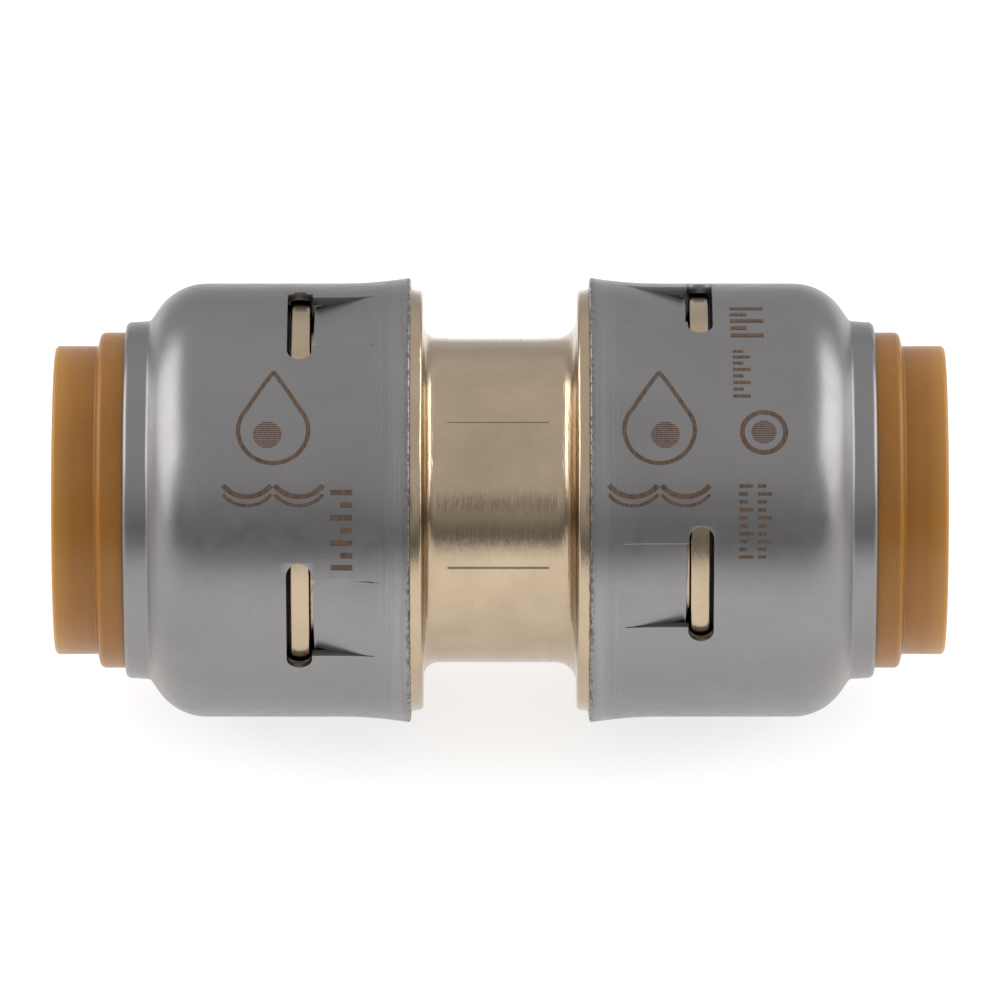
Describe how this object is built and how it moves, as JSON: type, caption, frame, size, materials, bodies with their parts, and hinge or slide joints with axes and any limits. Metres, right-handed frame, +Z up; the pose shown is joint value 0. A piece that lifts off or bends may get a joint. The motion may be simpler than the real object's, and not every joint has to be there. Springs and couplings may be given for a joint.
{
  "type": "push-fit pipe coupling",
  "caption": "Straight brass push-fit coupling with a stainless sleeve, toothed grip ring, O-ring and release collar at each end.",
  "frame": {"origin": "on the pipe axis, midway between the two collar ends", "axes": "+X along the pipe axis towards the right-hand socket, +Z up when the coupling lies on its side"},
  "size_m": [0.054, 0.027, 0.027],
  "materials": {
    "brass": "turned, with fine rings",
    "stainless": "satin, drawn and tumbled",
    "spring_steel": "stamped, bright",
    "collar_plastic": "moulded, satin",
    "protector_plastic": "moulded, satin",
    "backing_plastic": "moulded, glass filled",
    "rubber": "lightly greased",
    "liner_plastic": "moulded, satin"
  },
  "bodies": {
    "body": {"brass_body": "brass", "left_o_ring": "rubber", "left_o_ring_protector": "protector_plastic", "left_pipe_liner": "liner_plastic", "right_o_ring": "rubber", "right_o_ring_protector": "protector_plastic", "right_pipe_liner": "liner_plastic"},
    "left_sleeve": {"left_outer_sleeve": "stainless", "left_backing_ring": "backing_plastic"},
    "left_grip": {"left_grab_ring": "spring_steel"},
    "left_collar": {"left_release_collar": "collar_plastic"},
    "right_sleeve": {"right_outer_sleeve": "stainless", "right_backing_ring": "backing_plastic"},
    "right_grip": {"right_grab_ring": "spring_steel"},
    "right_collar": {"right_release_collar": "collar_plastic"}
  },
  "joints": [
    {"name": "left_sleeve_turn", "type": "hinge", "parent": "body", "child": "left_sleeve", "pos_m": [-0.012, 0, 0], "axis": [1, 0, 0], "continuous": true},
    {"name": "left_grip_turn", "type": "hinge", "parent": "body", "child": "left_grip", "pos_m": [-0.0163, 0, 0], "axis": [1, 0, 0], "continuous": true},
    {"name": "left_collar_press", "type": "slide", "parent": "left_grip", "child": "left_collar", "axis": [1, 0, 0], "range_m": [0, 0.0013], "stiffness_N_per_m": 1500, "deforming": ["left_grab_ring"]},
    {"name": "right_sleeve_turn", "type": "hinge", "parent": "body", "child": "right_sleeve", "pos_m": [0.012, 0, 0], "axis": [1, 0, 0], "continuous": true},
    {"name": "right_grip_turn", "type": "hinge", "parent": "body", "child": "right_grip", "pos_m": [0.0163, 0, 0], "axis": [1, 0, 0], "continuous": true},
    {"name": "right_collar_press", "type": "slide", "parent": "right_grip", "child": "right_collar", "axis": [-1, 0, 0], "range_m": [0, 0.0013], "stiffness_N_per_m": 1500, "deforming": ["right_grab_ring"]}
  ]
}
